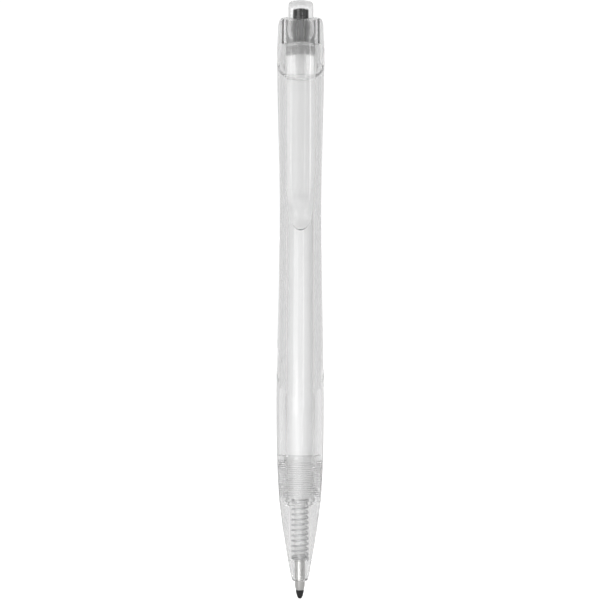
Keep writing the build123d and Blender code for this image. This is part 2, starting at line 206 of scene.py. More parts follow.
def moulded_group():
    """Uneven polish of a moulding: slow changes of tone and roughness, and a fine waviness."""
    tree, start, end = group_tree(
        "moulded_surface",
        (("Scale", 200), ("Roughness Low", 0.02), ("Roughness High", 0.06)),
        ("Tone", "Roughness", "Height"),
    )
    fine_times = 7.0
    slow = put(tree, "ShaderNodeTexNoise", {"Detail": 3.0, "Roughness": 0.5})
    finer = put(tree, "ShaderNodeMath", {1: fine_times}, operation="MULTIPLY")
    fine = put(tree, "ShaderNodeTexNoise", {"Detail": 2.0, "Roughness": 0.6})
    spread = put(tree, "ShaderNodeMapRange", {"From Min": 0.3, "From Max": 0.7})
    wire_up(
        tree,
        (start, "Vector", slow, "Vector"),
        (start, "Scale", slow, "Scale"),
        (start, "Scale", finer, 0),
        (start, "Vector", fine, "Vector"),
        (finer, 0, fine, "Scale"),
        (slow, 0, spread, "Value"),
        (start, "Roughness Low", spread, "To Min"),
        (start, "Roughness High", spread, "To Max"),
        (slow, 0, end, "Tone"),
        (spread, 0, end, "Roughness"),
        (fine, 0, end, "Height"),
    )
    return tree


def drawn_group():
    """Marks of turning or drawing on metal: fine bands across one direction."""
    tree, start, end = group_tree(
        "drawn_metal",
        (("Bands", 9000), ("Roughness Low", 0.15), ("Roughness High", 0.35)),
        ("Tone", "Roughness", "Height"),
    )
    least_share = 0.15
    bands = put(tree, "ShaderNodeTexWave", {"Distortion": 2.5, "Detail": 2.0}, bands_direction="Z")
    cloud = put(tree, "ShaderNodeTexNoise", {"Scale": 900.0, "Detail": 3.0})
    blend = put(tree, "ShaderNodeMath", {2: least_share}, operation="MULTIPLY_ADD")
    spread = put(tree, "ShaderNodeMapRange")
    wire_up(
        tree,
        (start, "Vector", bands, "Vector"),
        (start, "Bands", bands, "Scale"),
        (start, "Vector", cloud, "Vector"),
        (bands, 1, blend, 0),
        (cloud, 0, blend, 1),
        (blend, 0, spread, "Value"),
        (start, "Roughness Low", spread, "To Min"),
        (start, "Roughness High", spread, "To Max"),
        (cloud, 0, end, "Tone"),
        (spread, 0, end, "Roughness"),
        (bands, 1, end, "Height"),
    )
    return tree


GROUPS = {}


def shared_group(maker):
    """Node group that a maker builds once for all materials."""
    if maker.__name__ not in GROUPS:
        GROUPS[maker.__name__] = maker()
    return GROUPS[maker.__name__]


def surface_material(name, maker, colour, shade, marks, bump, **constants):
    """Principled material whose tone, roughness and bump come from a shared group.

    The colour falls to shade times itself in the darker patches, and marks sets the group's inputs."""
    material = bpy.data.materials.new(name)
    material.use_nodes = True
    tree = material.node_tree
    tree.nodes.clear()
    place = put(tree, "ShaderNodeTexCoord")
    surface = put(tree, "ShaderNodeGroup", node_tree=shared_group(maker))
    for key, value in marks.items():
        surface.inputs[key].default_value = value
    dark = [part * shade for part in colour]
    tone = put(tree, "ShaderNodeMix", {MIX_A: (*dark, 1), MIX_B: (*colour, 1)}, data_type="RGBA")
    relief = put(tree, "ShaderNodeBump", {"Strength": bump, "Distance": RELIEF})
    finish = put(tree, "ShaderNodeBsdfPrincipled")
    for key, value in constants.items():
        finish.inputs[key.replace("_", " ")].default_value = value
    end = put(tree, "ShaderNodeOutputMaterial")
    wire_up(
        tree,
        (place, "Object", surface, "Vector"),
        (surface, "Tone", tone, 0),
        (surface, "Roughness", finish, "Roughness"),
        (surface, "Height", relief, "Height"),
        (tone, MIX_RESULT, finish, "Base Color"),
        (relief, 0, finish, "Normal"),
        (finish, 0, end, "Surface"),
    )
    return material


def plastic(name, colour, shade, polish, bump, ior, scale=180.0, **constants):
    """Moulding with an uneven polish, whose roughness lies in the range that polish gives."""
    marks = {"Scale": scale, "Roughness Low": polish[0], "Roughness High": polish[1]}
    return surface_material(name, moulded_group, colour, shade, marks, bump, IOR=ior, **constants)


def metal(name, colour, shade, bands, polish, bump, **constants):
    """Bare metal with the marks of turning or drawing."""
    marks = {"Bands": bands, "Roughness Low": polish[0], "Roughness High": polish[1]}
    return surface_material(name, drawn_group, colour, shade, marks, bump, Metallic=1.0, **constants)


def clear_material(name, colour, clearness=CLEARNESS, polish=CLEAR_POLISH):
    """Clear moulding: refracts what is behind it and lets shadow rays through.

    The clearness is the share of light that goes through, and polish the range of its roughness."""
    material = plastic(
        name, colour, CLEAR_SHADE, polish, CLEAR_BUMP, CLEAR_IOR, CLEAR_SCALE, Transmission_Weight=clearness
    )
    tree = material.node_tree
    end = node_of(tree, "OUTPUT_MATERIAL")
    finish = node_of(tree, "BSDF_PRINCIPLED")
    rays = put(tree, "ShaderNodeLightPath")
    veil = put(tree, "ShaderNodeBsdfTransparent", {"Color": SHADOW_VEIL})
    either = put(tree, "ShaderNodeMixShader")
    wire_up(
        tree,
        (rays, "Is Shadow Ray", either, 0),
        (finish, 0, either, 1),
        (veil, 0, either, 2),
        (either, 0, end, "Surface"),
    )
    return material


def frosted_material(name, colour):
    """Clear moulding whose inner surfaces, nearer to the axis than a radius, are frosted."""
    material = clear_material(name, colour)
    tree = material.node_tree
    place = node_of(tree, "TEX_COORD")
    surface = node_of(tree, "GROUP")
    finish = node_of(tree, "BSDF_PRINCIPLED")
    level = put(tree, "ShaderNodeVectorMath", {1: (1, 1, 0)}, operation="MULTIPLY")
    away = put(tree, "ShaderNodeVectorMath", operation="LENGTH")
    inside = put(tree, "ShaderNodeMath", {1: FROST_RADIUS}, operation="LESS_THAN")
    rough = put(tree, "ShaderNodeMath", {1: FROST}, operation="MULTIPLY_ADD")
    wire_up(
        tree,
        (place, "Object", level, 0),
        (level, 0, away, 0),
        (away, "Value", inside, 0),
        (inside, 0, rough, 0),
        (surface, "Roughness", rough, 2),
        (rough, 0, finish, "Roughness"),
    )
    return material


def slot_material(slot):
    """Material for a slot of the record, made the first time it is asked for."""
    made = bpy.data.materials.get(slot)
    if made and made.get("pen_made"):
        return made
    if made:
        made.name = slot + ".packed"
    colours = bpy.context.scene.pen_colours
    makers = {
        "clear_plastic": lambda: clear_material(slot, colours.clear),
        "clear_cap": lambda: frosted_material(slot, colours.clear),
        "clear_button": lambda: clear_material(slot, colours.button, clearness=1.0, polish=(0.0, 0.02)),
        "white_plastic": lambda: plastic(
            slot, colours.refill, shade=0.96, polish=(0.32, 0.44), bump=0.06, ior=1.5
        ),
        "black_plastic": lambda: plastic(
            slot, colours.mechanism, shade=0.7, polish=(0.22, 0.34), bump=0.08, ior=1.3
        ),
        "seal_wax": lambda: plastic(
            slot, colours.seal, shade=0.7, polish=(0.12, 0.25), bump=0.15, ior=1.5, scale=700.0
        ),
        "ink": lambda: plastic(slot, colours.ink, shade=0.6, polish=(0.1, 0.2), bump=0.02, ior=1.45),
        "tip_metal": lambda: metal(
            slot, colours.tip, shade=0.8, bands=2600.0, polish=(0.22, 0.34), bump=0.06,
            Anisotropic=0.8, Anisotropic_Rotation=0.25,
        ),
        "ball_metal": lambda: metal(
            slot, colours.ball, shade=0.85, bands=5200.0, polish=(0.06, 0.14), bump=0.03
        ),
        "spring_steel": lambda: metal(
            slot, colours.steel, shade=0.75, bands=4200.0, polish=(0.18, 0.32), bump=0.1
        ),
    }
    made = makers[slot]()
    made["pen_made"] = True
    return made


# Modelling helpers


def pick(obj):
    """Make one object the only selected one, and the active one."""
    bpy.ops.object.select_all(action="DESELECT")
    obj.select_set(True)
    bpy.context.view_layer.objects.active = obj


def edit(obj):
    """Go into edit mode on an object with everything in it selected."""
    pick(obj)
    bpy.ops.object.mode_set(mode="EDIT")
    bpy.ops.mesh.select_mode(type="VERT")
    bpy.ops.mesh.select_all(action="SELECT")


def leave():
    """Go back to object mode."""
    bpy.ops.object.mode_set(mode="OBJECT")


def clean(obj):
    """Merge points that meet and turn every face outwards."""
    edit(obj)
    bpy.ops.mesh.remove_doubles(threshold=MERGE)
    bpy.ops.mesh.normals_make_consistent(inside=False)
    leave()


def outline(name, knots, closed):
    """Draw knots (radius, height, handle) as a curve in the XZ plane and turn it into edges."""
    bpy.ops.object.select_all(action="DESELECT")
    bpy.ops.curve.primitive_bezier_curve_add()
    obj = bpy.context.object
    obj.data.resolution_u = CURVE_STEPS
    spline = obj.data.splines[0]
    spline.bezier_points.add(len(knots) - len(spline.bezier_points))
    spline.use_cyclic_u = closed
    for point, (radius, height, handle) in zip(spline.bezier_points, knots):
        point.co = radius, 0, height
        point.handle_left_type = handle
        point.handle_right_type = handle
    bpy.ops.object.convert(target="MESH")
    obj = bpy.context.object
    obj.name = name
    obj.data.name = name
    return obj


def turn(name, knots, closed=True):
    """Spin an outline round the axis into a closed mesh."""
    obj = outline(name, knots, closed)
    edit(obj)
    bpy.ops.mesh.spin(steps=ROUND_STEPS, angle=math.tau, center=(0, 0, 0), axis=(0, 0, 1))
    leave()
    clean(obj)
    return obj


def modify(obj, kind, **settings):
    """Add a modifier and apply it."""
    pick(obj)
    bpy.ops.object.modifier_add(type=kind)
    modifier = obj.modifiers[-1]
    for key, value in settings.items():
        setattr(modifier, key, value)
    bpy.ops.object.modifier_apply(modifier=modifier.name)


def round_edges(obj, width):
    """Round the sharp edges of an object a little."""
    limit = math.radians(EDGE_ANGLE)
    modify(obj, "BEVEL", width=width, segments=EDGE_SEGMENTS, limit_method="ANGLE", angle_limit=limit)


def combine(obj, other, operation):
    """Boolean of two objects; the other one is used up."""
    modify(obj, "BOOLEAN", operation=operation, object=other, solver="MANIFOLD")
    bpy.data.objects.remove(other)


def join(obj, *others):
    """Put several objects into one."""
    pick(obj)
    for other in others:
        other.select_set(True)
    bpy.ops.object.join()


def slanted(height, tilt):
    """Point and normal of a plane that is lower at the front than at the back."""
    angle = math.radians(tilt)
    return Vector((0, 0, height)), Vector((0, -math.sin(angle), math.cos(angle)))


def slice_with(obj, point, normal):
    """Cut new edges along a plane and keep both sides."""
    edit(obj)
    bpy.ops.mesh.bisect(plane_co=point, plane_no=normal)
    leave()


def dress(obj, slot, body, *nodes, look=None):
    """Shade, colour and attach a finished piece that stands for CAD nodes."""
    pick(obj)
    bpy.ops.object.shade_smooth_by_angle(angle=math.radians(SHARP_ANGLE))
    obj.data.materials.clear()
    obj.data.materials.append(slot_material(look or slot))
    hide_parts(*nodes)
    if body:
        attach(obj, body)


def ease(value):
    """Smooth step from 0 to 1."""
    value = min(max(value, 0), 1)
    return value * value * (3 - 2 * value)


def mix(low, high, share):
    """Value a share of the way from low to high."""
    return low + (high - low) * share


# Thread between the nose and the barrel, the same for both

THREAD_PITCH = 0.5 * MM
THREAD_DEPTH = 0.12 * MM
THREAD_LEAD = 0.9 * MM
THREAD_CUTS = 240
THREAD_SHARPNESS = 1.6
# How far a point of the plain wall may lie from its radius
WALL_SLACK = 5 * MERGE
SPIGOT_RADIUS = 3.8 * MM
SOCKET_RADIUS = 3.85 * MM


def cut_thread(obj, radius):
    """Raise a rounded right-hand thread on the upright wall that lies at a radius from the axis."""
    edit(obj)
    bpy.ops.mesh.select_mode(type="EDGE")
    bpy.ops.mesh.select_all(action="DESELECT")
    leave()
    points = obj.data.vertices
    low = BARREL_FOOT + THREAD_LEAD / 2
    high = SPIGOT_TOP - THREAD_LEAD / 2

    def on_wall(place):
        off = abs(math.hypot(place.x, place.y) - radius)
        return off < WALL_SLACK and place.z < SPIGOT_TOP + THREAD_LEAD

    for edge in obj.data.edges:
        ends = [points[index].co for index in edge.vertices]
        upright = abs(ends[0].z - ends[1].z) > (SPIGOT_TOP - BARREL_FOOT) / 2
        edge.select = upright and all(on_wall(end) for end in ends)
    bpy.ops.object.mode_set(mode="EDIT")
    bpy.ops.mesh.subdivide(number_cuts=THREAD_CUTS)
    leave()
    for point in points:
        if not on_wall(point.co):
            continue
        turns = math.atan2(point.co.y, point.co.x) / math.tau
        phase = ((point.co.z - BARREL_FOOT) / THREAD_PITCH - turns) % 1
        profile = (0.5 - math.cos(phase * math.tau) / 2) ** THREAD_SHARPNESS
        fade = ease((point.co.z - low) / THREAD_LEAD) * ease((high - point.co.z) / THREAD_LEAD)
        scale = 1 + THREAD_DEPTH * profile * fade / radius
        point.co.x *= scale
        point.co.y *= scale


# Pieces


class PEN_OT_barrel(bpy.types.Operator):
    """Build the clear barrel with its grip step, threaded socket and cap spigot."""

    bl_idname = "pen.barrel"
    bl_label = "Barrel"

    rotor_room = 3.55 * MM
    rotor_room_foot = 123.43 * MM
    cap_spigot = 4.6 * MM
    socket_gap = 0.2 * MM
    edge_round = 0.09 * MM
    grip_line = 54.0 * MM
    grip_tilt = 44
    grip_band = 0.9 * MM
    ledge_band = 0.02 * MM

    def execute(self, context):
        sizes = context.scene.pen_sizes
        full = BARREL_RIM - BARREL_FOOT
        shoulder = sizes.shoulder_radius
        edge = BARREL_RIM - sizes.cap_skirt
        waist, grip, end = sizes.waist_radius, sizes.grip_radius, sizes.end_radius
        # share of the barrel's height, radius
        outside = (
            (0.067, mix(end, grip, 0.56)),
            (0.198, grip),
            (0.33, mix(waist, grip, 0.79)),
            (0.484, mix(waist, grip, 0.28)),
            (0.6375, waist),
            (0.791, mix(waist, shoulder, 0.435)),
        )
        knots = [(end, BARREL_FOOT, CORNER)]
        knots += [(radius, BARREL_FOOT + full * share, SMOOTH) for share, radius in outside]
        socket_top = SPIGOT_TOP + self.socket_gap
        knots += [
            (shoulder, edge, SMOOTH),
            (shoulder, BARREL_RIM, CORNER),
            (self.rotor_room, BARREL_RIM, CORNER),
            (self.rotor_room, self.rotor_room_foot, CORNER),
            (REFILL_BORE, self.rotor_room_foot, CORNER),
            (REFILL_BORE, socket_top, CORNER),
            (SOCKET_RADIUS, socket_top, CORNER),
            (SOCKET_RADIUS, BARREL_FOOT, CORNER),
        ]
        obj = turn("barrel_shell", knots)
        round_edges(obj, self.edge_round)
        self.raise_grip(obj, sizes.grip_step)
        self.sink_spigot(obj, edge)
        cut_thread(obj, SOCKET_RADIUS)
        clean(obj)
        dress(obj, "clear_plastic", "barrel", "barrel")
        return {"FINISHED"}

    def raise_grip(self, obj, step):
        """Push the outside out by a step below the slanted grip line."""
        point, normal = slanted(self.grip_line, self.grip_tilt)
        for side in (-1, 1):
            slice_with(obj, point + normal * self.grip_band / 2 * side, normal)
        for vertex in obj.data.vertices:
            radius = math.hypot(vertex.co.x, vertex.co.y)
            below = (vertex.co - point).dot(normal) < -self.grip_band / 4
            if below and radius > self.cap_spigot:
                vertex.co.x *= 1 + step / radius
                vertex.co.y *= 1 + step / radius

    def sink_spigot(self, obj, edge):
        """Draw the outside in to the cap's spigot above the cap's slanted edge."""
        point, normal = slanted(edge, CAP_TILT)
        slice_with(obj, point, normal)
        slice_with(obj, point + normal * self.ledge_band, normal)
        slope = math.tan(math.radians(CAP_TILT))
        for vertex in obj.data.vertices:
            radius = math.hypot(vertex.co.x, vertex.co.y)
            above = (vertex.co - point).dot(normal) > self.ledge_band / 2
            if above and radius > self.cap_spigot:
                vertex.co.x *= self.cap_spigot / radius
                vertex.co.y *= self.cap_spigot / radius
                vertex.co.z = max(vertex.co.z, edge + vertex.co.y * slope)


class PEN_OT_nose(bpy.types.Operator):
    """Build the clear nose cone with its spring chamber and threaded spigot."""

    bl_idname = "pen.nose"
    bl_label = "Nose cone"

    lip = 1.88 * MM
    lip_round = 0.36 * MM
    lip_flare_share = 0.15
    bulge = 0.19 * MM
    tip_bore = 1.28 * MM
    chamber_foot = 2.25 * MM
    chamber_top = 2.6 * MM
    chamber_top_height = 22.2 * MM
    edge_round = 0.09 * MM

    def execute(self, context):
        sizes = context.scene.pen_sizes
        rim = sizes.end_radius + sizes.grip_step
        knots = [
            (self.lip - self.lip_round, NOSE_END, CORNER),
            (self.lip - self.lip_round * ROUND_SHARE, NOSE_END + self.lip_round * ROUND_SHARE, SMOOTH),
            (self.lip + self.lip_round * self.lip_flare_share, NOSE_END + self.lip_round, SMOOTH),
            ((self.lip + rim) / 2 + self.bulge, (NOSE_END + BARREL_FOOT) / 2, SMOOTH),
            (rim, BARREL_FOOT, CORNER),
            (SPIGOT_RADIUS, BARREL_FOOT, CORNER),
            (SPIGOT_RADIUS, SPIGOT_TOP, CORNER),
            (REFILL_BORE, SPIGOT_TOP, CORNER),
            (REFILL_BORE, self.chamber_top_height, CORNER),
            (self.chamber_top, self.chamber_top_height, CORNER),
            (self.chamber_foot, SPRING_SEAT, CORNER),
            (self.tip_bore, SPRING_SEAT, CORNER),
            (self.tip_bore, NOSE_END, CORNER),
        ]
        obj = turn("nose_shell", knots)
        round_edges(obj, self.edge_round)
        cut_thread(obj, SPIGOT_RADIUS)
        clean(obj)
        dress(obj, "clear_plastic", "barrel", "nose_cone")
        return {"FINISHED"}


class PEN_OT_cap(bpy.types.Operator):
    """Build the clear cap and pocket clip in one moulding."""

    bl_idname = "pen.cap"
    bl_label = "Cap and clip"

    skirt_bore = 4.63 * MM
    guide = 3.04 * MM
    rib_end = 130.88 * MM
    groove_reach = 3.4 * MM
    groove_width = 1.6 * MM
    top_radius = 5.17 * MM
    crown_radius = 4.3 * MM
    crown_slope = 0.3 * MM
    taper_start = 1.2 * MM
    taper_radius_share = 0.45
    taper_height_share = 0.42
    crown_wall = 1.1 * MM
    crown_radius_share = 0.35
    crown_height_share = 0.5
    top_tilt = 15
    top_block = 20.0 * MM
    seam = 0.08 * MM
    trim = 6.0 * MM
    edge_round = 0.07 * MM
    clip_sides = 40
    clip_squareness = 5.0
    clip_crown = 0.3 * MM
    # depth below the cap's top, front and back in millimetres, share of the half width
    clip_stations = (
        (1.05, -4.75, -4.42, 1.0),
        (1.15, -5.2, -4.42, 1.0),
        (1.5, -5.75, -4.42, 1.0),
        (2.4, -6.35, -4.44, 1.0),
        (4.0, -6.85, -4.5, 1.0),
        (5.2, -7.08, -4.7, 1.0),
        (6.2, -7.23, -5.18, 1.0),
        (7.2, -7.36, -5.67, 1.0),
        (8.2, -7.48, -6.15, 1.0),
        (9.0, -7.57, -6.48, 1.0),
        (10.0, -7.66, -6.56, 1.0),
        (12.0, -7.82, -6.59, 1.0),
        (14.0, -7.92, -6.59, 1.0),
        (18.0, -7.99, -6.59, 1.0),
        (30.0, -7.99, -6.59, 1.0),
        (40.0, -7.99, -6.59, 1.0),
        (42.5, -7.96, -6.3, 0.97),
        (44.6, -7.86, -5.72, 0.91),
        (46.4, -7.66, -5.24, 0.82),
        (47.6, -7.45, -5.12, 0.73),
        (48.8, -7.15, -5.24, 0.63),
        (49.8, -6.85, -5.5, 0.46),
        (50.35, -6.64, -5.78, 0.28),
        (50.6, -6.5, -6.05, 0.08),
    )

    def execute(self, context):
        sizes = context.scene.pen_sizes
        shoulder = sizes.shoulder_radius
        edge = BARREL_RIM - sizes.cap_skirt
        foot = edge - self.trim
        taper = mix(shoulder, self.top_radius, self.taper_radius_share)
        taper_height = mix(BARREL_RIM, CAP_TOP, self.taper_height_share)
        crown = mix(self.top_radius, self.crown_radius, self.crown_radius_share)
        knots = [
            (shoulder, foot, CORNER),
            (shoulder, BARREL_RIM - self.taper_start, SMOOTH),
            (taper, taper_height, SMOOTH),
            (self.top_radius, CAP_TOP - self.crown_wall, SMOOTH),
            (crown, CAP_TOP - self.crown_wall * self.crown_height_share, SMOOTH),
            (self.crown_radius, CAP_TOP - self.crown_slope, SMOOTH),
            (self.guide, CAP_TOP, CORNER),
            (self.guide, self.rib_end, CORNER),
            (self.skirt_bore, self.rib_end, CORNER),
            (self.skirt_bore, foot, CORNER),
        ]
        obj = turn("clip_cap_shell", knots)
        point, normal = slanted(edge + self.seam, CAP_TILT)
        edit(obj)
        bpy.ops.mesh.bisect(plane_co=point, plane_no=normal, clear_inner=True)
        bpy.ops.mesh.bridge_edge_loops()
        leave()
        clean(obj)
        round_edges(obj, self.edge_round)
        combine(obj, self.clip(sizes), "UNION")
        for size in (
            (2 * self.groove_reach, self.groove_width),
            (self.groove_width, 2 * self.groove_reach),
        ):
            combine(obj, self.groove(size), "DIFFERENCE")
        combine(obj, self.slope(), "DIFFERENCE")
        clean(obj)
        dress(obj, "clear_plastic", "barrel", "clip_cap", look="clear_cap")
        return {"FINISHED"}

    def groove(self, size):
        """Block that cuts two facing grooves between the guide ribs."""
        bpy.ops.mesh.primitive_cube_add(size=1)
        obj = bpy.context.object
        edit(obj)
        bpy.ops.transform.resize(value=(*size, PLUNGER_SHOULDER - self.rib_end + self.seam))
        bpy.ops.transform.translate(value=(0, 0, (PLUNGER_SHOULDER + self.rib_end - self.seam) / 2))
        leave()
        return obj

    def slope(self):
        """Block that takes off the front of the cap's top along a slant."""
        bpy.ops.mesh.primitive_cube_add(size=self.top_block)
        obj = bpy.context.object
        rise = math.tan(math.radians(self.top_tilt))
        for vertex in obj.data.vertices:
            vertex.co.z += CAP_TOP + self.top_block / 2 + vertex.co.y * rise
        return obj

    def clip(self, sizes):
        """Sleeve of rounded sections that follows the clip from its root to its bump and end."""
        half = sizes.clip_width / 2
        rows = len(self.clip_stations) - 1
        power = 2 / self.clip_squareness
        bpy.ops.mesh.primitive_grid_add(x_subdivisions=self.clip_sides, y_subdivisions=rows, size=1)
        obj = bpy.context.object
        for vertex in obj.data.vertices:
            angle = (vertex.co.x + 0.5) * math.tau
            drop, near, far, share = self.clip_stations[round((vertex.co.y + 0.5) * rows)]
            across, deep = math.cos(angle), math.sin(angle)
            x = half * share * math.copysign(abs(across) ** power, across)
            lean = math.copysign(abs(deep) ** power, deep)
            y = mix(near, far, 0.5 - lean / 2) * MM
            if lean > 0:
                y += self.clip_crown * share * lean * (x / (half * share)) ** 2
            vertex.co = x, y, CAP_TOP - drop * MM
        edit(obj)
        bpy.ops.mesh.remove_doubles(threshold=MERGE)
        bpy.ops.mesh.fill_holes(sides=0)
        bpy.ops.mesh.normals_make_consistent(inside=False)
        leave()
        modify(obj, "SUBSURF", levels=2, render_levels=2)
        return obj


class PEN_OT_button(bpy.types.Operator):
    """Build the clear push button."""

    bl_idname = "pen.button"
    bl_label = "Push button"

    taper = 0.1 * MM
    press = 0.02 * MM
    # share of the rim's radius, drop below the top in millimetres
    dome = (0.4, 0.03), (0.72, 0.14), (0.92, 0.37), (1.0, 0.8)
    edge_round = 0.05 * MM

    def execute(self, context):
        rim = BUTTON_RADIUS - self.taper
        roof = STEM_TOP - self.press
        room_top = PLUNGER_SHOULDER - self.press
        body_bore = PLUNGER_BODY - self.press
        stem_bore = PLUNGER_STEM - self.press
        knots = [(0, BUTTON_TOP, SMOOTH)]
        knots += [(rim * share, BUTTON_TOP - drop * MM, SMOOTH) for share, drop in self.dome]
        knots += [
            (BUTTON_RADIUS, CAP_TOP, SMOOTH),
            (BUTTON_RADIUS, BUTTON_FOOT, CORNER),
            (body_bore, BUTTON_FOOT, CORNER),
            (body_bore, room_top, CORNER),
            (stem_bore, room_top, CORNER),
            (stem_bore, roof, CORNER),
            (0, roof, CORNER),
        ]
        obj = turn("button_shell", knots, closed=False)
        round_edges(obj, self.edge_round)
        clean(obj)
        dress(obj, "clear_plastic", "button", "push_button", look="clear_button")
        return {"FINISHED"}


class PEN_OT_mechanism(bpy.types.Operator):
    """Build the black plunger and cam rotor with their facing teeth."""

    bl_idname = "pen.mechanism"
    bl_label = "Plunger and rotor"

    stem_round = 0.3 * MM
    collar = 2.8 * MM
    collar_height = 0.75 * MM
    crown_bore = 1.1 * MM
    tooth_depth = 0.6 * MM
    tooth_count = 4
    notch_share = 0.85
    pin_bore = 0.76 * MM
    fin_root = 2.3 * MM
    fin_width = 1.5 * MM
    lug_gap = 0.05 * MM
    edge_round = 0.06 * MM

    def execute(self, context):
        collar_top = CROWN_TIP + self.collar_height
        round_by = self.stem_round * ROUND_SHARE
        plunger = turn(
            "plunger_body",
            [
                (0, STEM_TOP, CORNER),
                (PLUNGER_STEM - self.stem_round, STEM_TOP, CORNER),
                (PLUNGER_STEM - round_by, STEM_TOP - round_by, SMOOTH),
                (PLUNGER_STEM, STEM_TOP - self.stem_round, CORNER),
                (PLUNGER_STEM, PLUNGER_SHOULDER, CORNER),
                (PLUNGER_BODY, PLUNGER_SHOULDER, CORNER),
                (PLUNGER_BODY, collar_top, CORNER),
                (self.collar, collar_top, CORNER),
                (self.collar, CROWN_TIP, CORNER),
                (self.crown_bore, CROWN_TIP, CORNER),
                (self.crown_bore, CROWN_TIP + self.tooth_depth, CORNER),
                (0, CROWN_TIP + self.tooth_depth, CORNER),
            ],
            closed=False,
        )
        self.notch(plunger, CROWN_TIP, 1)
        lug_foot = CROWN_TIP + self.lug_gap
        join(plunger, *self.fins(lug_foot, collar_top))
        dress(plunger, "black_plastic", "button", "plunger")
        rotor = turn(
            "rotor_body",
            [
                (self.pin_bore, FIN_TOP - self.tooth_depth, CORNER),
                (self.crown_bore, FIN_TOP - self.tooth_depth, CORNER),
                (self.crown_bore, FIN_TOP, CORNER),
                (self.collar, FIN_TOP, CORNER),
                (self.collar, ROTOR_FOOT, CORNER),
                (self.pin_bore, ROTOR_FOOT, CORNER),
            ],
        )
        self.notch(rotor, FIN_TOP, -1)
        join(rotor, *self.fins(ROTOR_FOOT, FIN_TOP))
        dress(rotor, "black_plastic", "rotor", "cam_rotor")
        return {"FINISHED"}

    def notch(self, obj, tips, side):
        """Raise the flat end of a crown into V notches between its teeth."""
        pitch = math.tau / self.tooth_count
        for vertex in obj.data.vertices:
            radius = math.hypot(vertex.co.x, vertex.co.y)
            if abs(vertex.co.z - tips) > MERGE or radius < self.crown_bore - MERGE:
                continue
            angle = math.atan2(vertex.co.y, vertex.co.x) % pitch
            off_notch = abs(angle - pitch / 2) / (pitch / 2 * self.notch_share)
            vertex.co.z += side * self.tooth_depth * max(0, 1 - off_notch)

    def fins(self, foot, top):
        """Four rounded blocks that stand out of the hub and run in the cap's grooves."""
        made = []
        for number in range(self.tooth_count):
            bpy.ops.mesh.primitive_cube_add(size=1)
            fin = bpy.context.object
            edit(fin)
            bpy.ops.transform.resize(value=(FIN_RADIUS - self.fin_root, self.fin_width, top - foot))
            bpy.ops.transform.translate(value=((FIN_RADIUS + self.fin_root) / 2, 0, (foot + top) / 2))
            bpy.ops.mesh.bevel(offset=self.edge_round, segments=EDGE_SEGMENTS, affect="EDGES")
            bpy.ops.transform.rotate(
                value=math.tau * number / self.tooth_count, orient_axis="Z", center_override=(0, 0, 0)
            )
            leave()
            made.append(fin)
        return made


class PEN_OT_refill(bpy.types.Operator):
    """Build the white push tube, refill tube and tip holder."""

    bl_idname = "pen.refill"
    bl_label = "Refill"

    wall = 0.65 * MM
    push_wall = 0.8 * MM
    push_roof = 1.5 * MM
    neck = 1.0 * MM
    neck_length = 4.9 * MM
    neck_pin = 0.7 * MM
    rotor_gap = 0.06 * MM
    nozzle = 1.36 * MM
    shank_bore = 0.98 * MM
    channel = 0.6 * MM
    press_gap = 0.03 * MM
    nozzle_round = 0.25 * MM
    edge_round = 0.1 * MM

    def execute(self, context):
        neck_top = ROTOR_FOOT - self.rotor_gap
        neck_foot = neck_top - self.neck_length
        push_bore = REFILL_RADIUS - self.push_wall
        push_tube = turn(
            "push_tube_body",
            [
                (0, NECK_PIN_TOP, CORNER),
                (self.neck_pin, NECK_PIN_TOP, CORNER),
                (self.neck_pin, neck_top, CORNER),
                (self.neck, neck_top, CORNER),
                (self.neck, neck_foot, CORNER),
                (REFILL_RADIUS, neck_foot, CORNER),
                (REFILL_RADIUS, REFILL_TOP, CORNER),
                (push_bore, REFILL_TOP, CORNER),
                (push_bore, neck_foot - self.push_roof, CORNER),
                (0, neck_foot - self.push_roof, CORNER),
            ],
            closed=False,
        )
        bore = REFILL_RADIUS - self.wall
        tube = turn(
            "refill_tube_body",
            [
                (bore, REFILL_FOOT, CORNER),
                (REFILL_RADIUS, REFILL_FOOT, CORNER),
                (REFILL_RADIUS, REFILL_TOP, CORNER),
                (bore, REFILL_TOP, CORNER),
            ],
        )
        spigot = bore - self.press_gap
        shank_top = TIP_SHANK_TOP + self.press_gap
        holder = turn(
            "tip_holder_body",
            [
                (self.shank_bore, NOZZLE_FOOT, CORNER),
                (self.nozzle - self.nozzle_round, NOZZLE_FOOT, CORNER),
                (self.nozzle, NOZZLE_FOOT + self.nozzle_round, CORNER),
                (self.nozzle, SPRING_TOP, CORNER),
                (REFILL_RADIUS, SPRING_TOP, CORNER),
                (REFILL_RADIUS, REFILL_FOOT, CORNER),
                (spigot, REFILL_FOOT, CORNER),
                (spigot, HOLDER_TOP, CORNER),
                (self.channel, HOLDER_TOP, CORNER),
                (self.channel, shank_top, CORNER),
                (self.shank_bore, shank_top, CORNER),
            ],
        )
        for obj, node in ((push_tube, "push_tube"), (tube, "refill_tube"), (holder, "tip_holder")):
            round_edges(obj, self.edge_round)
            clean(obj)
            dress(obj, "white_plastic", "refill", node)
        return {"FINISHED"}


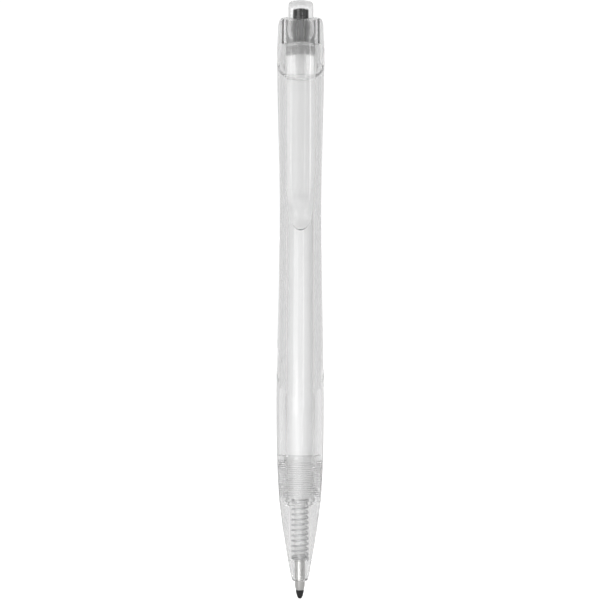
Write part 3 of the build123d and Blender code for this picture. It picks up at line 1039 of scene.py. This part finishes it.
class PEN_OT_point(bpy.types.Operator):
    """Build the metal point and the black bead that seals it."""

    bl_idname = "pen.point"
    bl_label = "Point and seal"

    cone_height = 3.0 * MM
    rim_radius = 0.57 * MM
    socket_rim = 0.52 * MM
    socket_side = 0.53 * MM
    socket_height = 0.65 * MM
    socket_bend_share = 0.71
    channel = 0.3 * MM
    channel_foot = 1.09 * MM
    shank = 0.95 * MM
    edge_round = 0.03 * MM
    skin = 0.12 * MM
    skin_bulge_share = 0.4
    seal_gap = 0.03 * MM
    # share of the bead's radius, height in millimetres
    bead = (0.4, 0.05), (0.78, 0.22)

    def execute(self, context):
        tip = turn(
            "writing_tip_body",
            [
                (self.socket_rim, TIP_RIM, CORNER),
                (self.socket_side, self.socket_height, SMOOTH),
                (self.channel, self.channel_foot, CORNER),
                (self.channel, TIP_SHANK_TOP, CORNER),
                (self.shank, TIP_SHANK_TOP, CORNER),
                (self.shank, NOZZLE_FOOT, CORNER),
                (TIP_RADIUS, NOZZLE_FOOT, CORNER),
                (TIP_RADIUS, self.cone_height, CORNER),
                (self.rim_radius, TIP_RIM, CORNER),
            ],
        )
        round_edges(tip, self.edge_round)
        clean(tip)
        dress(tip, "tip_metal", "refill", "writing_tip")
        share = (SEAL_TOP - TIP_RIM) / (self.cone_height - TIP_RIM)
        cone = mix(self.rim_radius, TIP_RADIUS, share) + self.seal_gap
        side = self.rim_radius + self.seal_gap
        bend = self.socket_side * self.socket_bend_share
        seal = turn(
            "tip_seal_body",
            [
                (0, 0, SMOOTH),
                *((side * share, height * MM, SMOOTH) for share, height in self.bead),
                (side + self.skin * self.skin_bulge_share, TIP_RIM, SMOOTH),
                (cone + self.skin / 2, SEAL_TOP, CORNER),
                (cone, SEAL_TOP, CORNER),
                (side, TIP_RIM, CORNER),
                (self.socket_rim, TIP_RIM, CORNER),
                (bend, self.socket_height - bend, SMOOTH),
                (0, self.skin, SMOOTH),
            ],
            closed=False,
        )
        dress(seal, "seal_wax", "refill", "tip_seal")
        return {"FINISHED"}


class PEN_OT_spring(bpy.types.Operator):
    """Wind the return spring with closed turns at both ends."""

    bl_idname = "pen.spring"
    bl_label = "Return spring"

    coil_radius = 1.9 * MM
    open_pitch = 1.24 * MM
    closed_pitch_share = 1.04
    closed_turns = 1.25
    lead_turns = 0.5
    steps_per_turn = 36
    wire_steps = 5

    def execute(self, context):
        wire = context.scene.pen_sizes.wire
        closed_pitch = wire * self.closed_pitch_share
        tall = SPRING_TOP - SPRING_SEAT - wire
        open_tall = tall - 2 * (self.closed_turns + self.lead_turns / 2) * closed_pitch
        turns = 2 * self.closed_turns + self.lead_turns + open_tall / self.open_pitch
        count = round(turns * self.steps_per_turn)
        heights = [0]
        for step in range(count):
            middle = (step + 0.5) / self.steps_per_turn
            near_end = min(middle, turns - middle)
            opening = ease((near_end - self.closed_turns) / self.lead_turns)
            heights.append(heights[-1] + mix(closed_pitch, self.open_pitch, opening))
        bpy.ops.object.select_all(action="DESELECT")
        bpy.ops.curve.primitive_bezier_curve_add()
        coil = bpy.context.object
        coil.data.splines.clear()
        spline = coil.data.splines.new("POLY")
        spline.points.add(count)
        for step, point in enumerate(spline.points):
            angle = step / self.steps_per_turn * math.tau
            height = SPRING_SEAT + wire / 2 + tall * heights[step] / heights[-1]
            place = self.coil_radius * math.cos(angle), self.coil_radius * math.sin(angle), height
            point.co = *place, 1
        coil.data.bevel_depth = wire / 2
        coil.data.bevel_resolution = self.wire_steps
        coil.data.use_fill_caps = True
        bpy.ops.object.convert(target="MESH")
        obj = bpy.context.object
        obj.name = "spring_coil"
        clean(obj)
        for vertex in obj.data.vertices:
            vertex.co.z = min(max(vertex.co.z, SPRING_SEAT), SPRING_TOP)
        dress(obj, "spring_steel", None, "spring")
        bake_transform(obj)
        return {"FINISHED"}


class PEN_OT_inner(bpy.types.Operator):
    """Give the CAD plug, ink and ball their materials."""

    bl_idname = "pen.inner"
    bl_label = "Plug, ink and ball"

    def execute(self, context):
        slots = {"refill_plug": "white_plastic", "ink_column": "ink", "writing_ball": "ball_metal"}
        for node, slot in slots.items():
            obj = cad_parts[node]
            for place in obj.material_slots:
                place.material = slot_material(slot)
        return {"FINISHED"}


class PEN_OT_stage(bpy.types.Operator):
    """Set up the floor, the soft light and the camera at the photo's angle."""

    bl_idname = "pen.stage"
    bl_label = "Stage"

    floor_size = 6.0
    floor_glow = 0.6
    bounces = 28
    camera_distance = 573 * MM
    camera_height = 70.55 * MM
    camera_side = -0.08 * MM
    camera_roll = -0.1
    camera_near = 10 * MM
    view_height = 141.8 * MM
    sensor = 36.0
    # where the camera's side of the surroundings ends and the far side begins
    side_blend = -0.3, 0.4
    # tones of the camera's side and of the far side from left (0) to right (1), and of the backdrop
    front_tones = (
        (0.0, 0.92), (0.2, 0.94), (0.38, 0.62), (0.5, 0.5), (0.62, 0.5), (0.78, 0.58), (1.0, 0.77)
    )
    back_tones = ((0.0, 0.45), (0.08, 0.73), (0.5, 0.86), (0.92, 0.71), (1.0, 0.45))
    panel_tone = 1.05
    # name, height aimed at, azimuth and elevation from the camera's side, distance, size, power
    lights = (
        ("key_light", camera_height, -24, 8, 0.7, (0.28, 0.7), 1.0),
        ("edge_light", camera_height, 16, 8, 0.8, (0.05, 0.7), 0.35),
        ("clip_light", mix(BARREL_FOOT, CAP_TOP, 0.75), 15, 0, 0.1, (0.12, 0.12), 0.025),
        ("nose_light", SPRING_TOP, -15, 0, 0.06, (0.05, 0.05), 0.0065),
        ("point_light", mix(SPRING_SEAT, SPRING_TOP, 0.25), -15, 0, 0.02, (0.02, 0.012), 0.00045),
    )

    def execute(self, context):
        scene = context.scene
        scene.view_settings.view_transform = "Standard"
        for limit in ("max_bounces", "glossy_bounces", "transmission_bounces", "transparent_max_bounces"):
            setattr(scene.cycles, limit, self.bounces)
        self.floor(scene.pen_colours.floor)
        self.sky(scene)
        for lamp in self.lights:
            self.light(*lamp)
        bpy.ops.object.camera_add(
            location=(self.camera_side, -self.camera_distance, self.camera_height),
            rotation=(math.radians(90), math.radians(self.camera_roll), 0),
        )
        camera = context.object
        camera.data.sensor_width = self.sensor
        camera.data.lens = self.sensor * self.camera_distance / self.view_height
        camera.data.clip_start = self.camera_near
        scene.camera = camera
        return {"FINISHED"}

    def floor(self, colour):
        """Plain pale floor under the point, lifted to white for the camera alone."""
        bpy.ops.mesh.primitive_plane_add(size=self.floor_size)
        floor = bpy.context.object
        floor.name = "floor"
        paint = plastic(
            "floor_paint", colour, shade=0.99, polish=(0.7, 0.8), bump=0.0, ior=1.4, scale=3.0
        )
        tree = paint.node_tree
        finish = node_of(tree, "BSDF_PRINCIPLED")
        finish.inputs["Emission Strength"].default_value = self.floor_glow
        rays = put(tree, "ShaderNodeLightPath")
        wire_up(tree, (rays, "Is Camera Ray", finish, "Emission Color"))
        floor.data.materials.append(paint)

    def sky(self, scene):
        """White backdrop for the camera, and grey studio walls for what the clear plastic gathers."""
        world = scene.world or bpy.data.worlds.new("surroundings")
        scene.world = world
        world.use_nodes = True
        tree = world.node_tree
        tree.nodes.clear()
        place = put(tree, "ShaderNodeTexCoord")
        parts = put(tree, "ShaderNodeSeparateXYZ")
        near, away = self.side_blend
        behind = put(
            tree, "ShaderNodeMapRange", {"From Min": near, "From Max": away}, interpolation_type="SMOOTHSTEP"
        )
        rays = put(tree, "ShaderNodeLightPath")
        sideways = put(tree, "ShaderNodeMapRange", {"From Min": -1.0, "From Max": 1.0})
        front = self.ramp(tree, self.front_tones)
        far = self.ramp(tree, self.back_tones)
        blend = put(tree, "ShaderNodeMix", data_type="RGBA")
        backed = put(tree, "ShaderNodeMix", {MIX_B: (self.panel_tone,) * 3 + (1,)}, data_type="RGBA")
        back = put(tree, "ShaderNodeBackground")
        end = put(tree, "ShaderNodeOutputWorld")
        wire_up(
            tree,
            (place, "Generated", parts, 0),
            (parts, "Y", behind, "Value"),
            (parts, "X", sideways, "Value"),
            (sideways, 0, front, 0),
            (behind, 0, blend, 0),
            (front, 0, blend, MIX_A),
            (sideways, 0, far, 0),
            (far, 0, blend, MIX_B),
            (rays, "Is Camera Ray", backed, 0),
            (blend, MIX_RESULT, backed, MIX_A),
            (backed, MIX_RESULT, back, "Color"),
            (back, 0, end, "Surface"),
        )

    def ramp(self, tree, tones):
        """Grey ramp with a tone at each position."""
        node = put(tree, "ShaderNodeValToRGB")
        stops = node.color_ramp.elements
        stops[0].position, stops[1].position = tones[0][0], tones[-1][0]
        for position, _ in tones[1:-1]:
            stops.new(position)
        for stop, (_, tone) in zip(stops, tones):
            stop.color = tone, tone, tone, 1
        return node

    def light(self, name, height, azimuth, elevation, distance, size, power):
        """Soft rectangular light aimed at a height on the axis."""
        middle = Vector((0, 0, height))
        turn_angle, rise = math.radians(azimuth), math.radians(elevation)
        out = Vector(
            (math.sin(turn_angle) * math.cos(rise), -math.cos(turn_angle) * math.cos(rise), math.sin(rise))
        )
        place = middle + out * distance
        bpy.ops.object.light_add(type="AREA", location=place)
        lamp = bpy.context.object
        lamp.name = name
        lamp.rotation_euler = (middle - place).to_track_quat("-Z", "Y").to_euler()
        lamp.data.shape = "RECTANGLE"
        lamp.data.size, lamp.data.size_y = size
        lamp.data.energy = power


class PEN_PT_panel(bpy.types.Panel):
    """Sidebar panel with the pen's sizes, colours and building steps."""

    bl_idname = "PEN_PT_panel"
    bl_label = "Clear click pen"
    bl_space_type = "VIEW_3D"
    bl_region_type = "UI"
    bl_category = "Pen"

    def draw(self, context):
        for group in (context.scene.pen_sizes, context.scene.pen_colours):
            for key in group.__annotations__:
                self.layout.prop(group, key)
        for operator in OPERATORS:
            self.layout.operator(operator.bl_idname)


OPERATORS = (
    PEN_OT_barrel,
    PEN_OT_nose,
    PEN_OT_cap,
    PEN_OT_button,
    PEN_OT_mechanism,
    PEN_OT_refill,
    PEN_OT_point,
    PEN_OT_spring,
    PEN_OT_inner,
    PEN_OT_stage,
)
CLASSES = (PenSizes, PenColours, *OPERATORS, PEN_PT_panel)


def register():
    """Register the classes and hang the settings on the scene."""
    for cls in CLASSES:
        bpy.utils.register_class(cls)
    bpy.types.Scene.pen_sizes = PointerProperty(type=PenSizes)
    bpy.types.Scene.pen_colours = PointerProperty(type=PenColours)


def unregister():
    """Take the settings and classes away again."""
    del bpy.types.Scene.pen_colours
    del bpy.types.Scene.pen_sizes
    for cls in reversed(CLASSES):
        bpy.utils.unregister_class(cls)


def main():
    register()
    bpy.ops.pen.barrel()
    bpy.ops.pen.nose()
    bpy.ops.pen.cap()
    bpy.ops.pen.button()
    bpy.ops.pen.mechanism()
    bpy.ops.pen.refill()
    bpy.ops.pen.point()
    bpy.ops.pen.spring()
    bpy.ops.pen.inner()
    bpy.ops.pen.stage()


if __name__ == "__main__":
    main()
